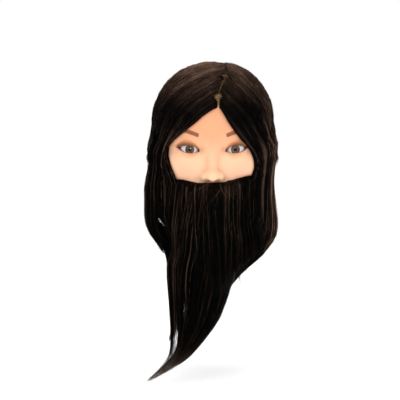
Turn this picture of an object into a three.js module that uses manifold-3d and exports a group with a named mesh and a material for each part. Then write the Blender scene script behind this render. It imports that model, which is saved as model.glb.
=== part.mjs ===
// A mannequin training head for hairdressers: a hollow vinyl head on a rigid foam core, with acrylic eyes,
// a rooted scalp with long parted hair, a rooted beard, and a neck plug with a socket for a clamp post.
// Millimetres. +Z is up, the face looks along -Y, and the origin is the centre line of the flat neck foot.
import * as THREE from "three";
import { mergeVertices } from "three/addons/utils/BufferGeometryUtils.js";
import Module from "manifold-3d";

// Driving dimensions
const VERTEX_Z = 278; // top of the bare scalp
const EYE_Z = 168; // height of the pupils
const EYE_X = 31; // half the distance between the pupils
const EYE_Y = -74; // centre of the eye ball
const SKULL = { half: 76, long: 95, high: 82 }; // radii of the cranium
const SKULL_Y = 9; // the cranium's centre sits a little behind the neck axis at the ears
const NOSE_TIP_Z = 132;
const CHIN_Z = 60;
const WALL = 3.5; // vinyl
const GAP = 0.4; // clear space between neighbouring pieces
const REACH = 160; // past everything sideways
const HIGH = 400; // past everything upwards
const EYE_R = 12.4; // radius of the acrylic eye shell
const IRIS_R = 5.8;
// Radii of the neck, its centre at the foot, and how far it leans per mm of height
const NECK = { half: 51, deep: 50, y: 20, lean: -0.08 };
const PLUG_FLANGE = 3; // the flange under the vinyl's rim
const PLUG_HEIGHT = 15;
const SOCKET = { mouth: 13.5, end: 12, wall: 3.2, depth: 88, lip: 24, lipHeight: 3 };
const HAIR_CUT = 1.3; // hair starts this far off the skin
const CROWN_THICK = 9.5; // crown hair over the scalp
const BEARD_THICK = 13;
const HANG_Z = 150; // the crown hair ends and the locks hang free below this height
const LOCK_FRONT = -44; // each side lock hangs between these two y planes
const LOCK_BACK = 44;
const BEARD_EDGE = 69; // half width of the whole beard at the cheeks
const BEARD_MIDDLE = 30; // half width of the moustache and of the chin beard
const LIP_Z = 98; // the moustache ends here
const PART_X = 6; // the parting, towards the +X side
const LOCK_END_Z = 24;
const NAPE_SPLIT_Z = 68; // rooted nape hair above, free long hair below
const CHIN_SPLIT_Z = 61; // rooted beard above, free beard below

const wasm = await Module();
wasm.setup();

const { sin, cos, abs, min, max, hypot, PI } = Math;
const lerp = THREE.MathUtils.lerp;
const degrees = THREE.MathUtils.degToRad;

// ---------------------------------------------------------------------------------------------
// Solids: a geometry becomes a manifold solid for a cut or a join, and comes back as a geometry.

function solid(geometry) {
  const bare = geometry.clone();
  bare.deleteAttribute("normal");
  bare.deleteAttribute("uv");
  const merged = mergeVertices(bare, 1e-4);
  return new wasm.Manifold(
    new wasm.Mesh({
      numProp: 3,
      vertProperties: new Float32Array(merged.attributes.position.array),
      triVerts: new Uint32Array(merged.index.array),
    }),
  );
}

function geometryOf(manifold) {
  const { vertProperties, triVerts, numProp, numVert } = manifold.getMesh();
  const points = new Float32Array(numVert * 3);
  for (let i = 0; i < numVert; i++)
    points.set(vertProperties.subarray(i * numProp, i * numProp + 3), i * 3);
  const geometry = new THREE.BufferGeometry();
  geometry.setAttribute("position", new THREE.BufferAttribute(points, 3));
  geometry.setIndex(new THREE.BufferAttribute(new Uint32Array(triVerts), 1));
  geometry.computeVertexNormals();
  return geometry;
}

function block(low, high) {
  const size = high.map((h, i) => h - low[i]);
  const box = new THREE.BoxGeometry(...size);
  box.translate(...low.map((l, i) => l + size[i] / 2));
  return solid(box);
}

// A closed surface from rings of points, lowest ring first, each counter-clockwise from above.
// Its first and last rings are closed flat from their middle.
function stack(rings) {
  const points = rings.flat();
  const n = rings[0].length;
  const faces = [];
  for (let r = 0; r + 1 < rings.length; r++)
    for (let i = 0; i < n; i++) {
      const a = r * n + i;
      const b = r * n + ((i + 1) % n);
      faces.push(a, b, b + n, a, b + n, a + n);
    }
  const middle = (ring) => ring.reduce((sum, p) => sum.add(p), new THREE.Vector3()).divideScalar(n);
  const bottom = points.push(middle(rings[0])) - 1;
  const top = points.push(middle(rings[rings.length - 1])) - 1;
  const last = (rings.length - 1) * n;
  for (let i = 0; i < n; i++) {
    const next = (i + 1) % n;
    faces.push(bottom, next, i);
    faces.push(top, last + i, last + next);
  }
  const geometry = new THREE.BufferGeometry().setFromPoints(points);
  geometry.setIndex(faces);
  return geometry;
}

// ---------------------------------------------------------------------------------------------
// The head's form, as a distance field that is 0 on the skin and negative inside.

function blend(a, b, k) {
  const h = max(k - abs(a - b), 0) / k;
  return min(a, b) - (h * h * k) / 4;
}

function carve(a, b, k) {
  return -blend(-a, b, k);
}

function ellipsoid(x, y, z, rx, ry, rz) {
  const k0 = hypot(x / rx, y / ry, z / rz);
  const k1 = hypot(x / rx ** 2, y / ry ** 2, z / rz ** 2);
  return k1 < 1e-9 ? -min(rx, ry, rz) : (k0 * (k0 - 1)) / k1;
}

function cone(p, a, b, ra, rb) {
  const ab = b.map((v, i) => v - a[i]);
  const ap = p.map((v, i) => v - a[i]);
  const dot = ap[0] * ab[0] + ap[1] * ab[1] + ap[2] * ab[2];
  const t = min(max(dot / hypot(...ab) ** 2, 0), 1);
  return hypot(...ap.map((v, i) => v - ab[i] * t)) - lerp(ra, rb, t);
}

function neckField(x, y, z) {
  const centre = NECK.y + NECK.lean * z;
  const k = hypot(x / NECK.half, (y - centre) / NECK.deep);
  return max((k - 1) * NECK.half, z - EYE_Z);
}

function skullField(x, y, z) {
  const crown = ellipsoid(x, y - SKULL_Y, z - (VERTEX_Z - SKULL.high), SKULL.half, SKULL.long, SKULL.high);
  const forehead = ellipsoid(x, y + 22, z - 203, 58, 66, 48);
  const face = ellipsoid(x, y + 25, z - 140, 65, 61, 68);
  const jaw = ellipsoid(x, y + 33, z - (CHIN_Z + 40), 51, 54, 40);
  const chin = ellipsoid(x, y + 73, z - (CHIN_Z + 15), 20, 19, 15);
  const cheek = ellipsoid(abs(x) - 40, y + 55, z - 146, 20, 21, 17);
  const lips = ellipsoid(x, y + 81, z - 106, 24, 17, 17);
  let d = blend(crown, forehead, 16);
  d = blend(d, face, 16);
  d = blend(d, jaw, 14);
  d = blend(d, chin, 10);
  d = blend(d, cheek, 14);
  d = blend(d, lips, 10);
  return blend(d, neckField(x, y, z), 16);
}

function earField(x, y, z) {
  const along = (z - 154) * cos(0.2) + (y - 9) * sin(0.2);
  const across = (y - 9) * cos(0.2) - (z - 154) * sin(0.2);
  const lobe = ellipsoid(abs(x) - 75, across, along, 6, 15, 29);
  const bowl = ellipsoid(abs(x) - 82, across + 3, along, 4, 8, 15);
  return carve(lobe, bowl, 3);
}

function noseField(x, y, z) {
  const p = [abs(x), y, z];
  const bridge = cone(p, [0, -83, EYE_Z + 4], [0, -101, NOSE_TIP_Z + 2], 6, 8);
  const tip = ellipsoid(x, y + 105, z - NOSE_TIP_Z, 8.5, 8.5, 8);
  const wing = ellipsoid(abs(x) - 10, y + 96, z - (NOSE_TIP_Z - 2), 6, 8.5, 6);
  return blend(blend(bridge, tip, 5), wing, 4);
}

// Distance from the skin. The hair is laid over the head without its nose and ears.
function headField(x, y, z, features = true) {
  let d = skullField(x, y, z);
  const socket = ellipsoid(abs(x) - EYE_X, y + 97, z - EYE_Z, 21, 12, 13);
  d = carve(d, socket, 9);
  if (!features) return d;
  const lid = ellipsoid(abs(x) - EYE_X, y - EYE_Y, z - EYE_Z, EYE_R + 3.4, EYE_R + 1.9, EYE_R);
  d = blend(d, lid, 4);
  d = blend(d, noseField(x, y, z), 6);
  return blend(d, earField(x, y, z), 4);
}

// ---------------------------------------------------------------------------------------------
// A ray grid over the head. Above TURN_Z the rays spread from one point, below it they are level.

const TURN_Z = 185;
const EAR_Z = 110; // below this height the rays' middle moves back onto the neck
const RAY_LONG = 150;
const COARSE_STEP = 1.5;

// Columns are bunched towards the face, and the face's rows are the closest.
const SKIN_GRID = {
  columns: 46,
  bunch: 0.62,
  floor: PLUG_FLANGE + GAP,
  neckRows: 5,
  faceRows: 26,
  crownRows: 8,
};
const INNER_GRID = { columns: 24, bunch: 0.1, floor: -5, neckRows: 3, faceRows: 8, crownRows: 6 };
const HAIR_GRID = { columns: 26, bunch: 0.1, floor: 20, neckRows: 3, faceRows: 11, crownRows: 8 };

function rayStart(z) {
  const jawY = 2;
  const y =
    z > EAR_Z
      ? lerp(jawY, SKULL_Y, (z - EAR_Z) / (TURN_Z - EAR_Z))
      : lerp(NECK.y, jawY, max(z, 0) / EAR_Z);
  return new THREE.Vector3(0, y, z);
}

// Where a ray meets a level of the distance field: coarse steps inwards, then halving.
function onLevel(start, direction, level, features) {
  const at = (t) => {
    const p = start.clone().addScaledVector(direction, t);
    return headField(p.x, p.y, p.z, features) - level;
  };
  let outside = RAY_LONG;
  let distance = at(outside);
  while (outside > 2 && distance > 0) {
    outside -= max(COARSE_STEP, 0.5 * distance);
    distance = at(outside);
  }
  let inside = outside;
  outside = min(RAY_LONG, inside + COARSE_STEP);
  while (at(outside) < 0) outside += COARSE_STEP;
  for (let i = 0; i < 18; i++) {
    const half = (inside + outside) / 2;
    if (at(half) > 0) outside = half;
    else inside = half;
  }
  return start.clone().addScaledVector(direction, inside);
}

// The head as one solid, at a distance from the skin, from the grid's floor up to the crown.
function headSolid(level, grid, features = true) {
  const { columns, bunch, floor, neckRows, faceRows, crownRows } = grid;
  const rays = [];
  for (let r = 0; r < neckRows; r++) rays.push([lerp(floor, CHIN_Z, r / neckRows), 0]);
  for (let r = 0; r < faceRows; r++) rays.push([lerp(CHIN_Z, TURN_Z, r / faceRows), 0]);
  for (let r = 0; r < crownRows; r++) rays.push([TURN_Z, (PI / 2) * (r / (crownRows - 0.5))]);
  const rings = rays.map(([z, up]) =>
    Array.from({ length: columns }, (_, c) => {
      const s = (2 * c) / columns - 1;
      const u = PI * lerp(s, s ** 3, bunch);
      const direction = new THREE.Vector3(sin(u) * cos(up), -cos(u) * cos(up), sin(up));
      return onLevel(rayStart(z), direction, level, features);
    }),
  );
  return solid(stack(rings));
}

// A prism of a shape drawn in (first, second), swept along the third axis between two places.
function prismAlongX(points, from, to) {
  const geometry = new THREE.ExtrudeGeometry(new THREE.Shape(points), {
    depth: to - from,
    bevelEnabled: false,
    curveSegments: 6,
  });
  geometry.applyMatrix4(new THREE.Matrix4().set(0, 0, 1, from, 1, 0, 0, 0, 0, 1, 0, 0, 0, 0, 0, 1));
  return solid(geometry);
}

function prismAlongY(shape, from, to) {
  const geometry = new THREE.ExtrudeGeometry(shape, {
    depth: to - from,
    bevelEnabled: false,
    curveSegments: 5,
  });
  geometry.applyMatrix4(new THREE.Matrix4().set(1, 0, 0, 0, 0, 0, -1, to, 0, 1, 0, 0, 0, 0, 0, 1));
  return solid(geometry);
}

// ---------------------------------------------------------------------------------------------
// Vinyl: a face skin and a scalp cap, parted at the hairline, over a foam core.

// The side view of everything above the hairline, raised by an amount.
function hairlineRegion(raise) {
  const line = new THREE.SplineCurve(
    [[-REACH, 244], [-70, 232], [-20, 206], [22, 158], [62, 104], [REACH, 84]].map(
      ([y, z]) => new THREE.Vector2(y, z + raise),
    ),
  );
  const corners = [new THREE.Vector2(REACH, HIGH), new THREE.Vector2(-REACH, HIGH)];
  return prismAlongX([...line.getPoints(16), ...corners], -REACH, REACH);
}

function eyeBall(side, radius) {
  const ball = new THREE.SphereGeometry(radius, 20, 14);
  ball.translate(side * EYE_X, EYE_Y, EYE_Z);
  return solid(ball);
}

// The almond between the lids, cut through the vinyl in front of each eye.
function eyeOpening(side) {
  const inner = new THREE.Vector2(17, EYE_Z - 3);
  const outer = new THREE.Vector2(47, EYE_Z + 1);
  const shape = new THREE.Shape().moveTo(inner.x, inner.y);
  shape.bezierCurveTo(23, EYE_Z + 8, 38, EYE_Z + 8, outer.x, outer.y);
  shape.bezierCurveTo(40, EYE_Z - 7.5, 26, EYE_Z - 7.5, inner.x, inner.y);
  const cut = prismAlongY(shape, -REACH, EYE_Y);
  return side > 0 ? cut : cut.mirror([1, 0, 0]);
}

const skinOutside = headSolid(0, SKIN_GRID);

// The vinyl's inside and the foam share one grid, so their facets run side by side.
function innerHead(level) {
  return headSolid(level, INNER_GRID, false);
}

function vinylShell() {
  let shell = skinOutside.subtract(innerHead(-WALL));
  for (const side of [-1, 1]) {
    shell = shell.subtract(eyeBall(side, EYE_R + GAP)).subtract(eyeOpening(side));
  }
  return shell;
}

function foamCore() {
  let foam = innerHead(-WALL - 1).intersect(above(PLUG_HEIGHT + GAP));
  for (const side of [-1, 1]) {
    foam = foam.subtract(eyeBall(side, EYE_R + 1));
  }
  return foam.subtract(socketOutside(GAP));
}

// ---------------------------------------------------------------------------------------------
// Neck plug and clamp socket.

function lathe(profile) {
  const geometry = new THREE.LatheGeometry(
    profile.map(([r, h]) => new THREE.Vector2(r, h)),
    32,
  );
  geometry.rotateX(PI / 2);
  return geometry;
}

// Four ribs that stop the sleeve turning in the foam.
function socketRibs(grow) {
  const reach = SOCKET.mouth + SOCKET.wall + 5 + grow;
  const half = 1.5 + grow;
  const low = PLUG_HEIGHT + 4 - grow;
  const high = SOCKET.depth - 12 + grow;
  const y = NECK.y;
  return block([-reach, y - half, low], [reach, y + half, high]).add(
    block([-half, y - reach, low], [half, y + reach, high]),
  );
}

function socketOutside(grow) {
  const { mouth, end, wall, depth, lip, lipHeight } = SOCKET;
  const body = lathe([
    [0, -grow],
    [lip + grow, -grow],
    [lip + grow, lipHeight + grow],
    [mouth + wall + grow, lipHeight + grow],
    [end + wall + grow, depth + wall + grow],
    [0, depth + wall + grow],
  ]);
  body.translate(0, NECK.y, 0);
  return solid(body).add(socketRibs(grow));
}

function socketSleeve() {
  const { mouth, end, depth } = SOCKET;
  const past = -5; // the cutter starts below the mouth
  const bore = lathe([[0, past], [mouth, past], [mouth, 0], [end, depth], [0, depth]]);
  bore.translate(0, NECK.y, 0);
  return socketOutside(0).subtract(solid(bore));
}

// A flat elliptical disc round the neck's axis, between two heights.
function ellipseDisc(rx, ry, from, to) {
  const shape = new THREE.Shape().absellipse(0, NECK.y, rx, ry, 0, 2 * PI);
  const geometry = new THREE.ExtrudeGeometry(shape, {
    depth: to - from,
    bevelEnabled: false,
    curveSegments: 20,
  });
  geometry.translate(0, 0, from);
  return solid(geometry);
}

// A flange under the vinyl's rim, and a spigot that fills the neck inside the vinyl.
function neckPlug() {
  const rim = 0.5; // the flange is this much smaller than the neck
  const inset = WALL + 2.4;
  const flange = ellipseDisc(NECK.half - rim, NECK.deep - rim, 0, PLUG_FLANGE);
  const spigot = ellipseDisc(NECK.half - inset, NECK.deep - inset, PLUG_FLANGE - rim, PLUG_HEIGHT);
  return flange.add(spigot).subtract(socketOutside(GAP));
}

// ---------------------------------------------------------------------------------------------
// Eyes: a white acrylic shell, an iris disc set in its front, and a clear dome over the iris.
// They are turned about the axis of sight, which is the lathe's own axis.

function eyeGeometry(profile) {
  const geometry = new THREE.LatheGeometry(profile, 20);
  geometry.rotateX(PI);
  return geometry;
}

function arc(radius, from, to, steps) {
  return Array.from({ length: steps + 1 }, (_, i) => {
    const a = degrees(lerp(from, to, i / steps));
    return new THREE.Vector2(radius * sin(a), radius * cos(a));
  });
}

const IRIS_EDGE = 29; // degrees off the axis of sight where the white shell opens for the iris
const IRIS_FRONT = EYE_R * cos(degrees(IRIS_EDGE)) - 1.6;
const IRIS_FIT = IRIS_R - 0.25; // the iris and its dome clear the opening

function eyeWhite() {
  const back = 80; // degrees off the axis of sight where the shell ends
  const outer = arc(EYE_R, IRIS_EDGE, back, 5);
  const inner = arc(EYE_R - 2, back, IRIS_EDGE + 7, 3);
  return eyeGeometry([inner[0], ...outer.reverse(), ...inner.reverse()]);
}

function irisDisc() {
  const thick = 1;
  const dish = 0.4;
  return eyeGeometry([
    new THREE.Vector2(0, IRIS_FRONT - thick),
    new THREE.Vector2(IRIS_FIT, IRIS_FRONT - thick),
    new THREE.Vector2(IRIS_FIT, IRIS_FRONT),
    new THREE.Vector2(0, IRIS_FRONT - dish),
  ]);
}

function clearDome() {
  const base = IRIS_FRONT + GAP;
  const top = EYE_R + 0.7;
  const rise = top - base - 0.6;
  const radius = (IRIS_FIT ** 2 + rise ** 2) / (2 * rise);
  const curve = arc(radius, 0, THREE.MathUtils.radToDeg(Math.asin(IRIS_FIT / radius)), 4);
  const dome = curve.reverse().map((p) => new THREE.Vector2(p.x, p.y - radius + top));
  return eyeGeometry([new THREE.Vector2(0, base), new THREE.Vector2(IRIS_FIT, base), ...dome]);
}

// ---------------------------------------------------------------------------------------------
// Hair. Each mass of fibre is one plain solid over the skin, clear of its neighbours.

const hairRoots = headSolid(HAIR_CUT, SKIN_GRID);

// The opening that the hair and the beard leave for the face, seen from the front.
function faceOpening() {
  const shape = new THREE.Shape().moveTo(PART_X - 3, 234);
  shape.quadraticCurveTo(-38, 196, -63, 164);
  shape.quadraticCurveTo(-60, 140, -50, 129);
  shape.lineTo(0, 124.5);
  shape.lineTo(51, 131);
  shape.quadraticCurveTo(60, 144, 61, 160);
  shape.quadraticCurveTo(34, 184, PART_X, 234);
  return prismAlongY(shape, -REACH, -22);
}

// A loft of ellipses. Each section gives its height, its span in x and its span in y.
function loft(sections, around = 20) {
  const ordered = [...sections].sort((a, b) => a.z - b.z);
  const rings = ordered.map(({ z, x, y }) =>
    Array.from({ length: around }, (_, i) => {
      const a = (2 * PI * i) / around;
      const soft = (t) => Math.sign(t) * abs(t) ** 0.9;
      const px = lerp(x[0], x[1], 0.5 + soft(cos(a)) / 2);
      const py = lerp(y[0], y[1], 0.5 + soft(sin(a)) / 2);
      return new THREE.Vector3(px, py, z);
    }),
  );
  return solid(stack(rings));
}

function above(z) {
  return block([-REACH, -REACH, z], [REACH, REACH, HIGH]);
}

// Over the ears the hair stands out further than its own thickness.
const crownSides = [
  { z: HANG_Z - 10, x: [-88, 86], y: [-66, 113] },
  { z: 172, x: [-88, 86], y: [-66, 113] },
  { z: 196, x: [-86, 85], y: [-68, 113] },
  { z: 220, x: [-80, 80], y: [-66, 106] },
  { z: 240, x: [-72, 73], y: [-58, 94] },
  { z: 258, x: [-60, 61], y: [-44, 76] },
];

function crownHair(side) {
  const over = headSolid(CROWN_THICK, HAIR_GRID, false).add(loft(crownSides, 32));
  const half =
    side < 0
      ? block([-REACH, -REACH, HANG_Z], [PART_X - GAP / 2, REACH, HIGH])
      : block([PART_X + GAP / 2, -REACH, HANG_Z], [REACH, REACH, HIGH]);
  return over.intersect(half).subtract(hairRoots).subtract(faceOpening());
}

// The curtain of hair that hangs round the sides and the back, below the crown hair,
// lies between these two lofts.
const curtainOutside = [
  { z: HANG_Z, x: [-88, 86], y: [-64, 113] },
  { z: 110, x: [-92, 85], y: [-58, 112] },
  { z: 66, x: [-92, 88], y: [-52, 108] },
  { z: 44, x: [-78, 82], y: [-46, 104] },
  { z: 24, x: [-66, 68], y: [-36, 98] },
];
const curtainInside = [
  { z: HANG_Z + 20, x: [-72, 72], y: [-60, 96] },
  { z: 110, x: [-73, 72], y: [-60, 96] },
  { z: 66, x: [-74, 74], y: [-58, 90] },
  { z: 44, x: [-67, 68], y: [-55, 88] },
  { z: 10, x: [-56, 56], y: [-50, 86] },
];

const wholeCurtain = loft(curtainOutside, 32).subtract(loft(curtainInside, 32));

function sideLock(side) {
  const [x0, x1] = side < 0 ? [-REACH, 0] : [0, REACH];
  const region = block([x0, LOCK_FRONT, LOCK_END_Z], [x1, LOCK_BACK, HANG_Z - GAP]);
  return wholeCurtain.intersect(region).subtract(hairRoots);
}

function napeHair() {
  const region = block([-REACH, LOCK_BACK + GAP, NAPE_SPLIT_Z], [REACH, REACH, HANG_Z - GAP]);
  return wholeCurtain.intersect(region).subtract(hairRoots);
}

// The long hair behind the neck, gathered towards -X as it falls.
function longHairFall() {
  return loft([
    { z: NAPE_SPLIT_Z - 1, x: [-66, 66], y: [62, 106] },
    { z: 34, x: [-64, 66], y: [72, 106] },
    { z: 4, x: [-63, 46], y: [72, 104] },
    { z: -40, x: [-60, 18], y: [71, 98] },
    { z: -84, x: [-58, -8], y: [70, 92] },
    { z: -118, x: [-62, -44], y: [72, 84] },
  ]).subtract(hairRoots);
}

// The beard that lies on the face, from ear to ear under the face's opening.
function rootedBeard() {
  const over = headSolid(BEARD_THICK, HAIR_GRID, false);
  const front = block(
    [-BEARD_EDGE, -REACH, CHIN_SPLIT_Z],
    [BEARD_EDGE, LOCK_FRONT - GAP, HANG_Z - GAP],
  );
  return over.intersect(front).subtract(hairRoots).subtract(faceOpening()).subtract(wholeCurtain);
}

const beard = rootedBeard();

function beardPart(x0, x1, z0, z1) {
  return beard.intersect(block([x0, -REACH, z0], [x1, REACH, z1]));
}

function cheekBeard(side) {
  const inner = BEARD_MIDDLE + GAP;
  return side < 0 ? beardPart(-REACH, -inner, 0, HIGH) : beardPart(inner, REACH, 0, HIGH);
}

// The beard hair that hangs free below the chin and sweeps to a point towards -X.
function beardFall() {
  return loft([
    { z: CHIN_SPLIT_Z - 1, x: [-58, 60], y: [-106, -60] },
    { z: 20, x: [-62, 58], y: [-107, -66] },
    { z: -8, x: [-62, 32], y: [-106, -70] },
    { z: -56, x: [-58, 12], y: [-102, -76] },
    { z: -92, x: [-57, -14], y: [-98, -80] },
    { z: -120, x: [-62, -43], y: [-94, -82] },
    { z: -136, x: [-73, -60], y: [-92, -84] },
    { z: -147, x: [-90, -85], y: [-90, -85] },
  ]).subtract(hairRoots);
}

// ---------------------------------------------------------------------------------------------
// Assembly

const vinyl = new THREE.MeshStandardMaterial({ color: 0xfdcda5, roughness: 0.5, metalness: 0 });
const scalpVinyl = new THREE.MeshStandardMaterial({ color: 0xb48a5c, roughness: 0.7, metalness: 0 });
const foam = new THREE.MeshStandardMaterial({ color: 0xe6dcb8, roughness: 0.95, metalness: 0 });
const plastic = new THREE.MeshStandardMaterial({ color: 0x2a2a2c, roughness: 0.45, metalness: 0 });
const white = new THREE.MeshStandardMaterial({ color: 0xf1efec, roughness: 0.15, metalness: 0 });
const iris = new THREE.MeshStandardMaterial({ color: 0x5a3a22, roughness: 0.3, metalness: 0 });
const clear = new THREE.MeshStandardMaterial({
  color: 0xffffff,
  roughness: 0.05,
  metalness: 0,
  transparent: true,
  opacity: 0.2,
});
const hair = new THREE.MeshStandardMaterial({ color: 0x17100e, roughness: 0.4, metalness: 0 });

const head = new THREE.Group();

function add(name, shape, material, parent = head) {
  const geometry = shape.isBufferGeometry ? shape : geometryOf(shape);
  const mesh = new THREE.Mesh(geometry, material);
  mesh.name = name;
  parent.add(mesh);
  return mesh;
}

const shell = vinylShell();
add("face_skin", shell.subtract(hairlineRegion(0)), vinyl);
add("scalp_cap", shell.intersect(hairlineRegion(GAP)), scalpVinyl);
add("foam_core", foamCore(), foam);
add("neck_plug", neckPlug(), plastic);
add("clamp_socket", socketSleeve(), plastic);

for (const side of [-1, 1]) {
  const label = side < 0 ? "left" : "right";
  const eye = new THREE.Group();
  eye.position.set(side * EYE_X, EYE_Y, EYE_Z);
  add(`${label}_eye_white`, eyeWhite(), white, eye);
  add(`${label}_iris`, irisDisc(), iris, eye);
  add(`${label}_eye_dome`, clearDome(), clear, eye);
  head.add(eye);
  add(`crown_hair_${label}`, crownHair(side), hair);
  add(`side_lock_${label}`, sideLock(side), hair);
  add(`cheek_beard_${label}`, cheekBeard(side), hair);
}
add("moustache", beardPart(-BEARD_MIDDLE, BEARD_MIDDLE, LIP_Z, HIGH), hair);
add("chin_beard", beardPart(-BEARD_MIDDLE, BEARD_MIDDLE, 0, LIP_Z - GAP), hair);
add("beard_fall", beardFall(), hair);
add("nape_hair", napeHair(), hair);
add("long_hair_fall", longHairFall(), hair);

export default head;
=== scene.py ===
"""Looks of a mannequin training head: vinyl face with acrylic eyes, long parted hair and a long beard.

Lengths are in millimetres until a mesh is made, in the frame's own axes: +Z up, the face looks along -Y.
"""

import bpy
import numpy as np
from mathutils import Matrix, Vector


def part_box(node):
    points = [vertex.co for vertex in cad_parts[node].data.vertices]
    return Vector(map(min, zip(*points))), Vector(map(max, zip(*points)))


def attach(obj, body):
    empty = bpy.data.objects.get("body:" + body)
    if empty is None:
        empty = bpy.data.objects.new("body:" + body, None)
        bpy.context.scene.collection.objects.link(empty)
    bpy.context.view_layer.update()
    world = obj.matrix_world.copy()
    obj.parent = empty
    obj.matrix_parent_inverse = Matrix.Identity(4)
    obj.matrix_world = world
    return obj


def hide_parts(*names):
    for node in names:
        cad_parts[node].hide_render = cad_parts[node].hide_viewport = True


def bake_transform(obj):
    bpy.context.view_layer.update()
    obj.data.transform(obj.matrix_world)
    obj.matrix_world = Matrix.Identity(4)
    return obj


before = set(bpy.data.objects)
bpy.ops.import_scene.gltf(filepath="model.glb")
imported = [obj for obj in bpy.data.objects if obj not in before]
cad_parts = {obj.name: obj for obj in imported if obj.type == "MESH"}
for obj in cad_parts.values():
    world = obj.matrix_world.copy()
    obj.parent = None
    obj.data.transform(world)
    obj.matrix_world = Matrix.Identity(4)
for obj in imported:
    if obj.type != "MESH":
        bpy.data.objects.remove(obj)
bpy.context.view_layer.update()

MM = 0.001
SEED = 7

# The camera, which sees the head from a little above
ELEVATION = np.radians(5)
CAMERA_DISTANCE = 2400.0
CAMERA_WIDTH = 544.0  # what it sees at its target
TARGET = np.array([-17.0, -80.0, 99.0])
CAMERA_BACK = np.array([0, -np.cos(ELEVATION), np.sin(ELEVATION)])


def corners(node):
    """Lowest and highest corner of a CAD node, in millimetres."""
    low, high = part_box(node)
    return np.array(low) / MM, np.array(high) / MM


# ---- Places that the frame gives ----

IRIS_LOW, IRIS_HIGH = corners("right_iris")
DOME_LOW = corners("right_eye_dome")[0]
EYE_R = 12.4
DOME_STANDS_OUT = 0.7
EYE = np.array(
    [
        (IRIS_LOW[0] + IRIS_HIGH[0]) / 2,
        DOME_LOW[1] + EYE_R + DOME_STANDS_OUT,
        (IRIS_LOW[2] + IRIS_HIGH[2]) / 2,
    ]
)
IRIS_R = (IRIS_HIGH[0] - IRIS_LOW[0]) / 2 + 0.2
VERTEX_Z = corners("scalp_cap")[1][2]
NECK_LOW, NECK_HIGH = corners("neck_plug")
NECK_Y = (NECK_LOW[1] + NECK_HIGH[1]) / 2
NECK_HALF = NECK_HIGH[0] + 0.5
NECK_DEEP = (NECK_HIGH[1] - NECK_LOW[1]) / 2 + 0.5
NECK_LEAN = -0.08
SKIN_FLOOR = corners("face_skin")[0][2]
TAIL_TIP = corners("beard_fall")[0]

CHIN_Z = 60.0
NOSE_TIP_Z = 134.0
EAR_Y, EAR_Z = 9.0, 154.0
EAR_LEAN = 0.2
EYE_INNER, EYE_OUTER = 16.8, 48.5  # the corners of the eye, from the middle of the face


# ---- The head's form, as a distance field: 0 on the skin, negative inside ----


def melt(a, b, k):
    """Union of two fields with a rounded crease."""
    h = np.maximum(k - np.abs(a - b), 0.0) / k
    return np.minimum(a, b) - h * h * k / 4


def carve(a, b, k):
    """a without b, with a rounded edge."""
    return -melt(-a, b, k)


def ellipsoid(x, y, z, rx, ry, rz):
    k0 = np.sqrt((x / rx) ** 2 + (y / ry) ** 2 + (z / rz) ** 2)
    k1 = np.sqrt((x / rx**2) ** 2 + (y / ry**2) ** 2 + (z / rz**2) ** 2)
    return k0 * (k0 - 1) / np.maximum(k1, 1e-6)


def tapered_rod(x, y, z, a, b, ra, rb):
    """A rod from a to b with round ends."""
    ab = np.subtract(b, a)
    ax, ay, az = x - a[0], y - a[1], z - a[2]
    t = np.clip((ax * ab[0] + ay * ab[1] + az * ab[2]) / (ab @ ab), 0, 1)
    away = np.sqrt((ax - ab[0] * t) ** 2 + (ay - ab[1] * t) ** 2 + (az - ab[2] * t) ** 2)
    return away - (ra + (rb - ra) * t)


def neck_field(x, y, z):
    centre = NECK_Y + NECK_LEAN * z
    k = np.sqrt((x / NECK_HALF) ** 2 + ((y - centre) / NECK_DEEP) ** 2)
    return np.maximum((k - 1) * NECK_HALF, z - EYE[2])


def skull_field(x, y, z):
    ax = np.abs(x)
    d = ellipsoid(x, y - 9, z - (VERTEX_Z - 82), 76, 95, 82)
    d = melt(d, ellipsoid(x, y + 22, z - 203, 58, 66, 48), 16)
    d = melt(d, ellipsoid(x, y + 25, z - 140, 65, 61, 68), 16)
    d = melt(d, ellipsoid(x, y + 33, z - (CHIN_Z + 40), 51, 54, 40), 14)
    d = melt(d, ellipsoid(x, y + 73, z - (CHIN_Z + 15), 20, 19, 15), 10)
    d = melt(d, ellipsoid(ax - 40, y + 55, z - 146, 20, 21, 17), 14)
    d = melt(d, ellipsoid(x, y + 81, z - 106, 24, 17, 17), 10)
    d = melt(d, neck_field(x, y, z), 16)
    return carve(d, ellipsoid(ax - EYE[0], y + 97, z - EYE[2], 21, 12, 13), 9)


def ear_field(x, y, z):
    along = (z - EAR_Z) * np.cos(EAR_LEAN) + (y - EAR_Y) * np.sin(EAR_LEAN)
    across = (y - EAR_Y) * np.cos(EAR_LEAN) - (z - EAR_Z) * np.sin(EAR_LEAN)
    lobe = ellipsoid(np.abs(x) - 75, across, along, 6, 15, 29)
    bowl = ellipsoid(np.abs(x) - 82, across + 3, along, 4, 8, 15)
    return carve(lobe, bowl, 3)


def nose_field(x, y, z):
    ax = np.abs(x)
    bridge = tapered_rod(x, y, z, (0, -80, EYE[2] + 6), (0, -101, NOSE_TIP_Z + 3), 5.5, 6.5)
    tip = ellipsoid(x, y + 104.5, z - NOSE_TIP_Z, 8, 8, 7.5)
    wing = ellipsoid(ax - 10.5, y + 92.5, z - (NOSE_TIP_Z - 1.5), 5, 9, 5.5)
    return melt(melt(bridge, tip, 7), wing, 9)


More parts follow.
